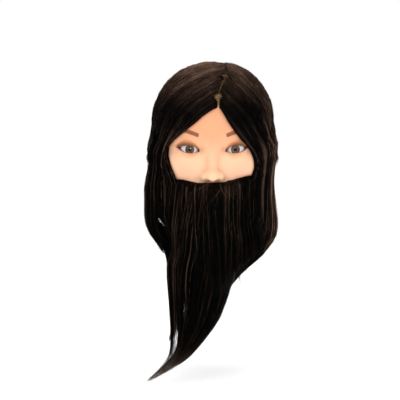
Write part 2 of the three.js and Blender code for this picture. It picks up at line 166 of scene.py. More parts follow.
def head_field(p, features=True):
    """Distance from the skin of points p, (..., 3)."""
    x, y, z = p[..., 0], p[..., 1], p[..., 2]
    d = skull_field(x, y, z)
    if not features:
        return d
    ax = np.abs(x)
    lid = ellipsoid(ax - EYE[0], y - EYE[1], z - EYE[2], EYE_R + 3.6, EYE_R + 2.4, EYE_R)
    d = melt(d, lid, 4)
    d = melt(d, nose_field(x, y, z), 13)
    nostril = ellipsoid(ax - 7.0, y + 100.5, z - (NOSE_TIP_Z - 8.6), 2.8, 5, 2.6)
    d = carve(d, nostril, 2)
    return melt(d, ear_field(x, y, z), 4)


def outward(p, features=False):
    """Unit direction away from the head, and the distance, at points p."""
    step = 0.5
    d = head_field(p, features)
    slope = np.stack([head_field(p + axis * step, features) - d for axis in np.eye(3)], -1)
    return slope / np.maximum(np.linalg.norm(slope, axis=-1, keepdims=True), 1e-6), d


# ---- Small tools ----


def smooth(edge0, edge1, value):
    """0 below edge0, 1 above edge1, and a soft step between them."""
    t = np.clip((value - edge0) / (edge1 - edge0), 0, 1)
    return t * t * (3 - 2 * t)


def wave(seed, s, octaves=3):
    """Smooth noise of about -1..1 along s."""
    rng = np.random.default_rng(seed)
    total = np.zeros_like(s)
    for k in range(octaves):
        phase, rate = rng.uniform(0, 2 * np.pi), (1.7**k) * rng.uniform(0.8, 1.2)
        total += np.sin(s * rate + phase) / (1.4**k)
    return total / 1.8


def spline_weights(position, count):
    """Four neighbours and Catmull-Rom weights for positions 0..count-1 on a row of control points."""
    i = np.clip(np.floor(position).astype(int), 0, count - 2)
    t = position - i
    near = np.clip(np.stack([i - 1, i, i + 1, i + 2], -1), 0, count - 1)
    weights = np.stack(
        [
            -0.5 * t + t**2 - 0.5 * t**3,
            1 - 2.5 * t**2 + 1.5 * t**3,
            0.5 * t + 2 * t**2 - 1.5 * t**3,
            -0.5 * t**2 + 0.5 * t**3,
        ],
        -1,
    )
    return near, weights


def on_net(net, v, t):
    """Points on a net of guides (guide, station, xyz). v runs over the guides and t along them, 0..1."""
    vi, vw = spline_weights(np.clip(v, 0, 1) * (net.shape[0] - 1), net.shape[0])
    ti, tw = spline_weights(np.clip(t, 0, 1) * (net.shape[1] - 1), net.shape[1])
    total = np.zeros(v.shape + (3,))
    for a in range(4):
        for b in range(4):
            weight = (vw[..., a] * tw[..., b])[..., None]
            total += weight * net[vi[..., a], ti[..., b]]
    return total


def mesh_object(name, points, quads, triangles=(), materials=(), smooth_faces=True):
    """A mesh object from points in millimetres."""
    mesh = bpy.data.meshes.new(name)
    quads = np.asarray(quads, np.int32).reshape(-1, 4)
    triangles = np.asarray(triangles, np.int32).reshape(-1, 3)
    starts = np.concatenate(
        [np.arange(len(quads)) * 4, len(quads) * 4 + np.arange(len(triangles)) * 3]
    )
    mesh.vertices.add(len(points))
    mesh.vertices.foreach_set("co", (np.asarray(points) * MM).astype(np.float32).ravel())
    mesh.loops.add(quads.size + triangles.size)
    mesh.loops.foreach_set("vertex_index", np.concatenate([quads.ravel(), triangles.ravel()]))
    mesh.polygons.add(len(starts))
    mesh.polygons.foreach_set("loop_start", starts.astype(np.int32))
    mesh.polygons.foreach_set("use_smooth", np.full(len(starts), smooth_faces))
    mesh.update(calc_edges=True)
    for material in materials:
        mesh.materials.append(material)
    made = bpy.data.objects.new(name, mesh)
    bpy.context.scene.collection.objects.link(made)
    return made


def paint(obj, name, values):
    """Stores one number per vertex, which the materials read."""
    layer = obj.data.attributes.new(name, "FLOAT", "POINT")
    layer.data.foreach_set("value", np.asarray(values, np.float32).ravel())


def sheet_faces(rows, columns, first=0):
    """Quads of a grid of rows x columns points, numbered row by row."""
    index = first + np.arange(rows * columns).reshape(rows, columns)
    return np.stack([index[:-1, :-1], index[:-1, 1:], index[1:, 1:], index[1:, :-1]], -1).reshape(-1, 4)


def thick_sheet(outer, inner):
    """Points and quads of a closed slab between two grids of points (rows, columns, xyz)."""
    rows, columns = outer.shape[:2]
    count = rows * columns
    index = np.arange(count).reshape(rows, columns)
    front = sheet_faces(rows, columns)
    back = sheet_faces(rows, columns, count)[:, ::-1]
    border = np.concatenate([index[0, :-1], index[:-1, -1], index[-1, :0:-1], index[:0:-1, 0]])
    after = np.roll(border, -1)
    rim = np.stack([after, border, border + count, after + count], -1)
    return np.concatenate([outer.reshape(-1, 3), inner.reshape(-1, 3)]), np.concatenate([front, back, rim])


# ---- Materials ----


def linear(hex_colour):
    """The scene's own linear colour of an ordinary hex colour."""
    values = np.array([int(hex_colour[i : i + 2], 16) for i in (0, 2, 4)]) / 255
    values = np.where(values <= 0.04045, values / 12.92, ((values + 0.055) / 1.055) ** 2.4)
    return (*values, 1.0)


class Nodes:
    """A short way to write a material's nodes."""

    def __init__(self, name):
        self.material = bpy.data.materials.new(name)
        self.material.use_nodes = True
        self.tree = self.material.node_tree
        self.shader = self.tree.nodes["Principled BSDF"]

    def add(self, kind, **settings):
        node = self.tree.nodes.new("ShaderNode" + kind)
        for key, value in settings.items():
            setattr(node, key, value)
        return node

    def put(self, socket, value):
        """Sets an input, or links it to another node's output."""
        if isinstance(value, bpy.types.NodeSocket):
            self.tree.links.new(value, socket)
        else:
            socket.default_value = value

    def feed(self, node, **inputs):
        """Puts values on a node's inputs; an underscore stands for a space."""
        for key, value in inputs.items():
            self.put(node.inputs[key.replace("_", " ")], value)
        return node

    def attribute(self, name):
        return self.add("Attribute", attribute_name=name).outputs["Fac"]

    def noise(self, scale, detail=3.0, roughness=0.55, stretch=None):
        place = self.add("TexCoord").outputs["Object"]
        if stretch is not None:
            mapping = self.feed(self.add("Mapping"), Vector=place, Scale=stretch)
            place = mapping.outputs["Vector"]
        made = self.add("TexNoise")
        self.feed(made, Vector=place, Scale=scale, Detail=detail, Roughness=roughness)
        return made.outputs["Fac"]

    def math(self, operation, first, second=0.0, clamp=False):
        node = self.add("Math", operation=operation, use_clamp=clamp)
        self.put(node.inputs[0], first)
        self.put(node.inputs[1], second)
        return node.outputs[0]

    def mix(self, factor, first, second, blend="MIX"):
        node = self.add("Mix", data_type="RGBA", blend_type=blend, clamp_factor=True)
        self.put(node.inputs[0], factor)
        self.put(node.inputs[6], first)
        self.put(node.inputs[7], second)
        return node.outputs[2]

    def ramp(self, value, stops):
        node = self.add("ValToRGB")
        node.color_ramp.elements[0].position, node.color_ramp.elements[0].color = stops[0]
        node.color_ramp.elements[1].position, node.color_ramp.elements[1].color = stops[-1]
        for place, colour in stops[1:-1]:
            node.color_ramp.elements.new(place).color = colour
        self.tree.links.new(value, node.inputs[0])
        return node.outputs["Color"]

    def bump(self, height, strength, distance):
        node = self.feed(self.add("Bump"), Height=height, Strength=strength, Distance=distance)
        self.feed(self.shader, Normal=node.outputs["Normal"])

    def finish(self, **inputs):
        self.feed(self.shader, **inputs)
        return self.material


def scalp_colour(m):
    """Tan vinyl between dark hair roots."""
    roots = m.ramp(m.noise(480, 3), [(0.38, (1, 1, 1, 1)), (0.52, (0, 0, 0, 1))])
    tan = m.mix(m.noise(200, 2), linear("94733f"), linear("b8935a"))
    return m.mix(roots, tan, linear("2a1a10"))


def skin_material():
    m = Nodes("face_vinyl")
    base = m.mix(m.noise(18, 2), linear("f8c29b"), linear("fdc9a4"))
    # painted shade: darker and more orange over the forehead and down the nose bridge
    base = m.mix(m.attribute("shade"), base, linear("e5a276"))
    # painted shade round the eyes: orange-brown over the upper lids, under the lower lids and at the inner
    # corners
    base = m.mix(m.attribute("lid"), base, linear("b8682f"))
    base = m.mix(m.math("MULTIPLY", m.attribute("blush"), 0.45), base, linear("f2a98c"))
    strokes = m.noise(700, 2, 0.5)
    strokes = m.math("ADD", m.math("MULTIPLY", strokes, 0.4), 0.75, clamp=True)
    brow = m.math("MULTIPLY", m.attribute("brow"), strokes, clamp=True)
    base = m.mix(brow, base, linear("86451f"))
    # painted liner along the lids; the skin turned in behind the lids takes the same dark brown as painted
    # shade
    base = m.mix(m.math("MULTIPLY", m.attribute("liner"), 0.9), base, linear("5c3219"))
    # painted shade: brownish at the nostrils under the nose tip
    base = m.mix(m.math("MULTIPLY", m.attribute("nostril"), 0.5), base, linear("b0683c"))
    base = m.mix(m.attribute("scalp"), base, scalp_colour(m))
    m.bump(m.noise(1400, 2), 0.12, 0.0002)
    return m.finish(Base_Color=base, Roughness=0.5, Subsurface_Weight=0.0)


def eye_white_material():
    m = Nodes("eye_white")
    vein = m.ramp(m.noise(500, 4, 0.6), [(0.55, (0, 0, 0, 1)), (0.75, (1, 1, 1, 1))])
    corner = m.attribute("corner")
    base = m.mix(m.attribute("shadow"), linear("cdcccf"), linear("857e7c"))
    base = m.mix(corner, base, linear("c98f7c"))
    base = m.mix(m.math("MULTIPLY", m.math("MULTIPLY", vein, corner), 0.5), base, linear("c77b6d"))
    base = m.mix(m.attribute("limbus"), base, linear("2a1a12"))
    return m.finish(Base_Color=base, Roughness=0.12)


def iris_material():
    m = Nodes("iris")
    ring = m.attribute("ring")
    spokes = m.attribute("spoke")
    brown = m.mix(spokes, linear("4c3424"), linear("8c6c54"))
    rim = m.ramp(ring, [(0.7, (0, 0, 0, 1)), (0.98, (1, 1, 1, 1))])
    brown = m.mix(rim, brown, linear("1c120c"))
    pupil = m.ramp(ring, [(0.36, (1, 1, 1, 1)), (0.44, (0, 0, 0, 1))])
    base = m.mix(pupil, brown, linear("030303"))
    return m.finish(Base_Color=base, Roughness=0.4, Specular_IOR_Level=0.05)


def dome_material():
    m = Nodes("eye_clear")
    roughness = m.math("MULTIPLY", m.noise(300, 1), 0.04)
    return m.finish(Base_Color=(1, 1, 1, 1), Roughness=roughness, IOR=1.2, Transmission_Weight=1.0)


def hair_material():
    m = Nodes("hair")
    # the hair's own tone per vertex, with painted sheen and shade added to it
    tone_and_sheen = m.attribute("tone_and_sheen")
    streak = m.noise(60, 2, 0.5)
    shade = m.math("ADD", tone_and_sheen, m.math("MULTIPLY", m.math("SUBTRACT", streak, 0.5), 0.25), clamp=True)
    base = m.ramp(
        shade,
        [
            (0.0, linear("010101")),
            (0.2, linear("080605")),
            (0.4, linear("241a14")),
            (0.65, linear("4e3a30")),
            (1.0, linear("8c6e5c")),
        ],
    )
    roughness = m.math("ADD", m.math("MULTIPLY", streak, 0.25), 0.3)
    return m.finish(Base_Color=base, Roughness=roughness, Specular_IOR_Level=0.03)


def base_plastic_material():
    m = Nodes("base_plastic")
    grain = m.noise(900, 3)
    m.bump(grain, 0.35, 0.0003)
    base = m.mix(m.noise(40, 3), linear("202022"), linear("2e2e31"))
    roughness = m.math("ADD", m.math("MULTIPLY", grain, 0.25), 0.4)
    return m.finish(Base_Color=base, Roughness=roughness)


def foam_material():
    m = Nodes("foam")
    cells = m.noise(1200, 4, 0.7)
    m.bump(cells, 0.8, 0.0006)
    return m.finish(Base_Color=m.mix(cells, linear("d8cba0"), linear("f0e6c4")), Roughness=0.95)


def floor_material():
    m = Nodes("floor")
    base = m.mix(m.noise(3, 2), linear("fcfcfc"), linear("ffffff"))
    return m.finish(Base_Color=base, Roughness=0.9, Emission_Color=(1, 1, 1, 1), Emission_Strength=0.35)


# ---- Face skin and scalp: rays from inside the head meet the skin on a grid ----

TURN_Z = 185.0  # rays spread from one point above this height, and are level below it
SKULL_Y = 9.0
THROAT_Y, THROAT_Z = 2.0, 110.0
OUTSIDE = 150.0  # further from a ray's start than any skin
LEAST_STEP = 0.7
LAST_STEP = 1.2  # from the first place inside the head back to one outside it


def ray_start(z):
    """Where the rays at height z start: in the middle of the neck, the throat and the skull."""
    y = np.interp(z, [0, THROAT_Z, TURN_Z], [NECK_Y, THROAT_Y, SKULL_Y])
    return np.stack([np.zeros_like(z), y, z], -1)


def reach(start, direction):
    """How far along each ray the head ends, seen from outside."""
    outside = np.full(start.shape[:-1], OUTSIDE)
    for _ in range(40):
        d = head_field(start + direction * outside[..., None])
        outside = np.where(d > 0, outside - np.maximum(LEAST_STEP, 0.6 * d), outside)
    inside = outside.copy()
    outside = inside + LAST_STEP
    for _ in range(14):
        half = (inside + outside) / 2
        over = head_field(start + direction * half[..., None]) > 0
        outside = np.where(over, half, outside)
        inside = np.where(over, inside, half)
    return inside


def spread(stops):
    """Numbers from stop to stop; each stop is (value, step used up to it)."""
    made = [stops[0][0]]
    for (a, _), (b, step) in zip(stops[:-1], stops[1:]):
        count = max(1, round(abs(b - a) / step))
        made.extend(np.linspace(a, b, count + 1)[1:])
    return np.array(made)


def head_rays():
    """Start points and directions of the ray grid: fine over the visible face, coarse elsewhere."""
    heights = spread([(SKIN_FLOOR, 4), (90, 4), (120, 2), (156, 0.8), (182, 0.45), (TURN_Z, 0.75)])
    lifts = spread([(0, 1), (np.radians(28), 0.009), (np.radians(50), 0.02), (np.radians(89), 0.05)])[1:]
    half = spread([(0, 1), (0.15, 0.0085), (0.58, 0.0055), (1.2, 0.03), (np.pi, 0.06)])
    turns = np.concatenate([-half[::-1], half[1:-1]])
    z = np.concatenate([heights, np.full(len(lifts), TURN_Z)])
    up = np.concatenate([np.zeros(len(heights)), lifts])
    z, u = np.meshgrid(z, turns, indexing="ij")
    up, _ = np.meshgrid(up, turns, indexing="ij")
    direction = np.stack([np.sin(u) * np.cos(up), -np.cos(u) * np.cos(up), np.sin(up)], -1)
    return ray_start(z), direction


def lid_line(ax, upper):
    """Height of the lid's edge above the pupil, across the eye."""
    s = np.clip((ax - EYE_INNER) / (EYE_OUTER - EYE_INNER), 0, 1)
    base = -2.6 + 4.6 * s
    if upper:
        return base + 6.3 * np.sin(np.pi * s**0.85) ** 0.75 * (1 - 0.1 * s)
    return base - 4.6 * np.sin(np.pi * s**1.1) ** 0.85


def eye_depth(x, z):
    """How far inside the almond between the lids a place is, in millimetres; negative outside."""
    ax = np.abs(x)
    high = EYE[2] + lid_line(ax, True) - z
    low = z - EYE[2] - lid_line(ax, False)
    ends = np.minimum(ax - EYE_INNER, EYE_OUTER - ax)
    return np.minimum(np.minimum(high, low), ends)


def hairline_height(y):
    """Height of the hairline over the side view of the head."""
    return np.interp(y, [-160, -70, -20, 22, 62, 160], [237, 225, 199, 151, 97, 77])


def brow_mask(x, z):
    """A painted brow that starts square beside the nose, rises and thins out."""
    ax = np.abs(x)
    middle = np.interp(ax, [18, 26, 34, 42, 52], [186.6, 189.8, 192.3, 193.3, 192])
    half = np.interp(ax, [18, 30, 40, 52], [2.7, 3.0, 2.4, 1.0])
    across = 1 - smooth(-0.6, 0.8, np.abs(z - middle) - half)
    return across * smooth(18.3, 19.3, ax + 0.25 * (z - 187)) * (1 - smooth(48, 52, ax))


FACE_Y = -50.0  # the face is in front of this
LID_STEP = 10.5  # the skin turns in by this much behind the lids


def face_skin():
    start, direction = head_rays()
    far = reach(start, direction)
    points = start + direction * far[..., None]
    depth = np.where(points[..., 1] < FACE_Y, eye_depth(points[..., 0], points[..., 2]), -99)
    crease_z = EYE[2] + lid_line(np.abs(points[..., 0]), True) + 4.2
    crease = np.exp(-(((points[..., 2] - crease_z) / 1.1) ** 2)) * smooth(18, 24, np.abs(points[..., 0]))
    crease *= (1 - smooth(46, 52, np.abs(points[..., 0]))) * (points[..., 1] < FACE_Y)
    rim = np.exp(-(((depth + 0.8) / 0.9) ** 2))
    far = far - LID_STEP * smooth(-0.2, 1.3, depth) - 0.7 * crease + 0.35 * rim
    points = start + direction * far[..., None]

    rows, columns = far.shape
    grid = points.reshape(-1, 3)
    index = np.arange(rows * columns).reshape(rows, columns)
    after = np.roll(index, -1, axis=1)
    quads = np.stack([index[:-1], after[:-1], after[1:], index[1:]], -1).reshape(-1, 4)
    bottom = points[0].mean(0)
    top = points[-1].mean(0) + np.array([0, 0, 0.02])
    first, last = len(grid), len(grid) + 1
    floor = np.stack([after[0], index[0], np.full(columns, first)], -1)
    crown = np.stack([index[-1], after[-1], np.full(columns, last)], -1)
    grid = np.concatenate([grid, [bottom, top]])
    skin = mesh_object("face_skin_visual", grid, quads, np.concatenate([floor, crown]), [skin_material()])

    x, y, z = grid.T
    front = 1 - smooth(-60, -45, y)
    ax = np.abs(x)
    depth = np.where(y < FACE_Y, eye_depth(x, z), -99)
    lid_top = EYE[2] + lid_line(ax, True)
    lid_low = EYE[2] + lid_line(ax, False)
    wing = smooth(16, 19, ax) * (1 - smooth(47.5, 51, ax))
    thick = 1.1 + 0.9 * smooth(20, 40, ax)
    liner = np.exp(-(np.abs((z - lid_top - 0.7) / thick) ** 3)) * wing
    lower = 0.45 * np.exp(-(((z - lid_low + 0.2) / 0.9) ** 2)) * wing
    # painted liner along the lids; the skin turned in behind the lids takes the same dark brown as painted
    # shade
    paint(skin, "liner", np.maximum(np.maximum(liner, lower) * front, smooth(-0.3, 0.6, depth)))
    paint(skin, "brow", brow_mask(x, z) * front)
    # painted shade: darker and more orange over the forehead and down the nose bridge
    shade = smooth(150, 196, z) + 0.15 * np.exp(-((x / 10) ** 2)) * smooth(118, 150, z)
    # painted shade round the eyes: orange-brown over the upper lids, under the lower lids and at the inner
    # corners
    lid = np.exp(-(((ax - 34) / 16) ** 4 + ((z - lid_top - 2.8) / 2.4) ** 2))
    lid += 0.4 * np.exp(-(((ax - 33) / 14) ** 4 + ((z - lid_low + 2.2) / 1.8) ** 2))
    lid += 0.5 * np.exp(-(((ax - 15) / 4) ** 2 + ((z - EYE[2] + 1) / 6) ** 2))
    paint(skin, "lid", np.clip(0.85 * lid, 0, 1) * front)
    paint(skin, "shade", np.clip(shade, 0, 1) * front)
    paint(skin, "blush", np.exp(-(((np.abs(x) - 42) / 16) ** 2 + ((z - 140) / 14) ** 2)) * front)
    # painted shade: brownish at the nostrils under the nose tip
    nostril = np.exp(-(((np.abs(x) - 7.4) / 3.2) ** 2 + ((z - NOSE_TIP_Z + 6.5) / 2.6) ** 2)) * (y < -88)
    paint(skin, "nostril", nostril)
    paint(skin, "scalp", smooth(-1.5, 1.5, z - hairline_height(y)))
    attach(skin, "head")
    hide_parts("face_skin", "scalp_cap")


# ---- Eyes ----


EYE_SEGMENTS = 64


def turned(profile, name, material, centre):
    """A solid turned about the line of sight. The profile is (radius, distance in front of the centre)."""
    profile = np.array(profile, float)
    angles = np.arange(EYE_SEGMENTS) * 2 * np.pi / EYE_SEGMENTS
    ring = np.stack([np.cos(angles), np.zeros(EYE_SEGMENTS), np.sin(angles)], -1)
    points = profile[:, None, :1] * ring[None] + np.array([0, -1, 0]) * profile[:, None, 1:]
    points = points.reshape(-1, 3)
    index = np.arange(len(points)).reshape(len(profile), EYE_SEGMENTS)
    after = np.roll(index, -1, axis=1)
    quads = np.stack([index[:-1], after[:-1], after[1:], index[1:]], -1).reshape(-1, 4)
    ends = np.array([[0, -profile[0, 1], 0], [0, -profile[-1, 1], 0]])
    first, last = len(points), len(points) + 1
    caps = np.concatenate(
        [
            np.stack([after[0], index[0], np.full(EYE_SEGMENTS, first)], -1),
            np.stack([index[-1], after[-1], np.full(EYE_SEGMENTS, last)], -1),
        ]
    )
    made = mesh_object(name, np.concatenate([points, ends]) + centre, quads, caps, [material])
    return made, np.concatenate([points, ends])


def eyes():
    white, iris, clear = eye_white_material(), iris_material(), dome_material()
    for label, side in (("left", -1), ("right", 1)):
        centre = EYE * np.array([side, 1, 1])
        hole = np.arcsin(IRIS_R / EYE_R)
        bend = np.linspace(np.radians(172), hole, 40)
        shell = [(EYE_R * np.sin(a), EYE_R * np.cos(a)) for a in bend]
        dish = [(IRIS_R * 0.97, EYE_R * np.cos(hole) - 0.6), (IRIS_R * 0.5, EYE_R * np.cos(hole) - 0.8)]
        ball, local = turned(shell + dish, f"{label}_eye_white_visual", white, centre)
        inward = smooth(8.5, 12.4, -side * local[:, 0])
        outward_corner = 0.6 * smooth(9.5, 12.4, side * local[:, 0])
        paint(ball, "corner", np.maximum(inward, outward_corner))
        paint(ball, "shadow", smooth(1.5, 7.5, local[:, 2]))
        from_axis = np.hypot(local[:, 0], local[:, 2])
        paint(ball, "limbus", (1 - smooth(IRIS_R, IRIS_R + 0.7, from_axis)) * (local[:, 1] < 0))
        front = EYE_R * np.cos(hole) - 0.35
        rings = np.linspace(0.97, 0.02, 16) * IRIS_R
        back = [(0.02 * IRIS_R, front - 0.9), (0.95 * IRIS_R, front - 0.9)]
        face = [(r, front - 0.5 * (1 - r / IRIS_R)) for r in rings]
        disc, local = turned(back + face, f"{label}_iris_visual", iris, centre)
        angle = np.arctan2(local[:, 2], local[:, 0])
        spoke = 0.5 + 0.3 * np.sin(angle * 23 + side) + 0.2 * np.sin(angle * 41)
        paint(disc, "ring", np.hypot(local[:, 0], local[:, 2]) / IRIS_R)
        paint(disc, "spoke", np.clip(spoke, 0, 1))
        rise = np.linspace(1.0, 0.02, 14)
        lens = [(r * IRIS_R * 0.98, front + 0.25 + (EYE_R + 0.6 - front - 0.25) * (1 - r**2)) for r in rise]
        lens = [(0.02 * IRIS_R, front + 0.12), (0.98 * IRIS_R, front + 0.12)] + lens
        dome, _ = turned(lens, f"{label}_eye_dome_visual", clear, centre)
        for piece, node, slot in (
            (ball, f"{label}_eye_white", "eye_white"),
            (disc, f"{label}_iris", "iris"),
            (dome, f"{label}_eye_dome", "eye_clear"),
        ):
            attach(piece, "head")
            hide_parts(node)


# ---- Hair: nets of guide lines over the head ----

# The hair's outline from the front as (height, x), from the crown down to the tip of the tail
LEFT_EDGE = [
    (279, -37), (256, -65), (235, -74), (212, -80), (190, -85), (168, -89), (152, -90), (141, -87),
    (128, -91), (111, -93), (61, -93), (42, -86), (30, -76), (7, -68), (-60, -61.5), (-100, -59),
    (-125, -66), (-149, -92),
]
RIGHT_EDGE = [
    (281, 44), (258, 73), (235, 83), (212, 87), (190, 91), (168, 91), (150, 91), (141, 87), (111, 85),
    (61, 91), (47, 91), (38, 88), (27, 83), (17, 75), (7, 63), (-4, 50), (-14, 38), (-25, 29),
    (-40, 23), (-56, 18), (-77, 4), (-99, -17), (-121, -40), (-129, -48), (-137, -59), (-149, -88),
]
# The right-hand side of the hair that runs down to the tip, under the fan of the beard
TAIL_EDGE = [
    (130, 60), (60, 52), (20, 42), (-14, 31), (-40, 22), (-56, 17), (-77, 3), (-99, -17), (-121, -40),
    (-129, -48), (-137, -59), (-149, -88),
]


def edge_x(side, z):
    heights, xs = zip(*(LEFT_EDGE if side < 0 else RIGHT_EDGE)[::-1])
    return np.interp(z, heights, xs)


def parting_x(y):
    return np.interp(y, [-82, -74, -65, -56, -42, -18, 10, 70], [9, 5, 10, 15, 18, 19, 15, 8])


def middle_x(y, z):
    """The line between the left and the right half: the parting above, the middle of the tail below."""
    tail = (edge_x(-1, z) + edge_x(1, z)) / 2
    return parting_x(y) + (tail - parting_x(y)) * (1 - smooth(30, 110, z))


def skin_y(x, z, level):
    """Where the front of the head, grown by level, is met along +Y; the middle of the head if it isn't."""
    y = np.full(np.shape(x), -150.0)
    x, z = np.asarray(x, float), np.asarray(z, float)
    for _ in range(60):
        d = head_field(np.stack([x, y, z], -1), False) - level
        y = np.where((d > 0) & (y < 0), y + np.clip(0.8 * d, 0.2, 6), y)
    return np.minimum(y, 0)


# Each guide: five places from the parting down the head as (share of the way to the edge, y, z), and
# where it hangs at three heights as (share, y)
HANG_AT = [140.0, 50.0, -70.0]
LOW_STEPS = [26.0, 8.0, -12.0, -38.0, -66.0, -96.0, -122.0, -149.0]  # heights of all guides' lower places
HANG_STEPS = [140.0, 114.0, 88.0, 64.0, 44.0] + LOW_STEPS
GUIDES = [
    (
        [(0.00, -64, 250), (0.24, -75, 233), (0.48, -68, 210), (0.69, -57, 186), (0.80, -50, 164)],
        [(0.82, -48), (0.74, -50), (0.70, -50)],
    ),
    (
        [(0.00, -38, 266), (0.34, -58, 246), (0.60, -52, 218), (0.81, -40, 190), (0.93, -29, 166)],
        [(0.95, -24), (0.93, -28), (0.88, -30)],
    ),
    (
        [(0.00, -8, 276), (0.38, -32, 262), (0.66, -30, 236), (0.89, -16, 202), (0.99, 0, 170)],
        [(1.00, 8), (1.00, 4), (0.92, 0)],
    ),
    (
        [(0.00, 20, 276), (0.38, 4, 271), (0.71, 10, 245), (0.93, 22, 207), (1.00, 34, 170)],
        [(0.98, 42), (0.98, 34), (0.88, 50)],
    ),
    (
        [(0.00, 42, 270), (0.34, 44, 264), (0.64, 54, 238), (0.84, 64, 204), (0.90, 74, 166)],
        [(0.88, 80), (0.84, 84), (0.78, 82)],
    ),
    (
        [(0.00, 56, 264), (0.22, 76, 252), (0.40, 94, 226), (0.50, 102, 190), (0.54, 104, 158)],
        [(0.54, 104), (0.52, 98), (0.5, 88)],
    ),
    (
        [(0.00, 64, 260), (0.00, 86, 246), (-0.01, 104, 216), (-0.01, 111, 184), (-0.02, 112, 156)],
        [(-0.02, 111), (-0.02, 102), (-0.02, 90)],
    ),
]
# The front edge of the hair beside the face as (x, z) on each side, down past the beard's corner
FRONT_EDGE = {
    -1: [(7, 226), (-10, 216), (-25, 203), (-44, 187), (-62, 167), (-57, 146), (-51, 126), (-55, 105)],
    1: [(9, 226), (15, 216), (23, 202), (35, 185), (49, 168), (55, 158), (54, 134), (56, 107)],
}
CROWN_LIFT = 6.8  # the hair's surface over the scalp
LOCK_END = 0.58  # guides up to here hang as the side lock, and the others as the long hair behind
LOCK_TIPS = {-1: (20, 66), 1: (-24, 58)}  # the lowest and the highest tip of each side lock
BARE_AT_HAIRLINE = {-1: 9.0, 1: 4.0}  # how far the roots stay from the parting there
BARE_AT_CROWN = 6.0
FULLER = {-1: 2.2, 1: 4.2}  # more hair over the upper sides of the head


def crown_net(side):
    """Guides of one side, from the hair's front edge round to the middle of the back."""
    front = np.array(FRONT_EDGE[side], float)
    top = np.column_stack([front[:, 0], skin_y(front[:, 0], front[:, 1], 3.0), front[:, 1]])
    top[-2:, 1] = top[-3, 1]
    steps = np.array(HANG_STEPS)
    below = np.column_stack([0.68 * edge_x(side, steps), np.full(len(steps), top[-1, 1]), steps])
    net = [np.concatenate([top, below[3:]])]
    for lying, hanging in GUIDES:
        shares, ys = zip(*hanging[::-1])
        shares = np.interp(steps, HANG_AT[::-1], shares)
        ys = np.interp(steps, HANG_AT[::-1], ys)
        share, y, z = (np.concatenate(pair) for pair in zip(zip(*lying), (shares, ys, steps)))
        middle = middle_x(y, z)
        net.append(np.column_stack([middle + share * (edge_x(side, z) - middle), y, z]))
    return np.array(net)


def lay(points, height, grip):
    """Moves points to a height over the skin where grip is 1, and only clear of the skin where it is 0."""
    for _ in range(3):
        away, d = outward(points)
        wanted = np.where(d < height, height, d + (height - d) * grip)
        over_neck_end = smooth(-4, 14, points[..., 2])
        points = points + away * ((wanted - d) * over_neck_end)[..., None]
    return points


def push(points, axis_y, distance):
    """Moves points level, away from an upright axis."""
    away = points[..., :2] - np.array([0.0, axis_y])
    away = away / np.maximum(np.linalg.norm(away, axis=-1, keepdims=True), 1e-6)
    points = points.copy()
    points[..., :2] += away * distance[..., None]
    return points


class Sheet:
    """A net of guides that hair flows along, with the way its points settle on the head."""

    def __init__(self, net, settle):
        self.net = net
        self.settle = settle

    def at(self, v, t, lift):
        v, t, lift = np.broadcast_arrays(v, t, lift)
        return self.settle(on_net(self.net, v, t), v, t, lift)

    def down_to(self, v, z):
        """How far along each guide v comes down to height z."""
        t = np.linspace(0, 1, 120)
        heights = on_net(self.net, np.repeat(v[:, None], len(t), 1), np.repeat(t[None], len(v), 0))[..., 2]
        below = heights < np.asarray(z).reshape(-1, 1)
        return np.where(below.any(1), t[below.argmax(1)], 1.0)

    def span(self):
        """The width of the sheet, halfway down."""
        row = self.net[:, self.net.shape[1] // 2]
        return np.linalg.norm(np.diff(row, axis=0), axis=1).sum()


def bare_scalp(y, v, side):
    """How far the roots stay from the parting: the scalp shows at the hairline and near the crown."""
    bare = BARE_AT_HAIRLINE[side] * np.exp(-(((y + 75) / 4.5) ** 2))
    bare = bare + BARE_AT_CROWN * np.exp(-(((y + 42) / 13) ** 2))
    crosses = wave(SEED + 8, v * 2600) > 0.9
    return 0.2 + bare * np.where(crosses, -0.7, 1.0)


def settle_crown(side):
    def settle(points, v, t, lift):
        lift = lift * (0.45 + 0.55 * smooth(0, 0.14, v))
        grip = smooth(172, 205, points[..., 2])
        points = push(points, 10, (lift - CROWN_LIFT) * (1 - grip))
        points[..., 0] += side * bare_scalp(points[..., 1], v, side) * np.exp(-60 * t)
        at_parting = 0.75 * smooth(-30, 10, points[..., 1])
        rise = 1 - (1 - at_parting) * np.exp(-180 * t)
        fuller = FULLER[side] * smooth(5, 50, np.abs(points[..., 0]))
        fuller = fuller * smooth(190, 225, points[..., 2])
        return lay(points, lift * rise + 0.3 + fuller, grip)

    return settle


# The upper edge of the beard, as (x, height)
BEARD_TOP = [(-54, 124.5), (-30, 124), (-12, 125), (0, 126), (12, 126), (30, 126), (62, 130)]
BEARD_STEPS = [114.0, 102.0, 90.0, 78.0, 64.0, 46.0] + LOW_STEPS
BEARD_LIFT = 7.0
# How far the beard's fan reaches to the left and to the right, as (height, left, right)
BEARD_HALVES = [(-149, 66, 84), (0, 63, 78), (46, 62, 74), (64, 61, 69), (102, 57, 64), (130, 54, 60)]


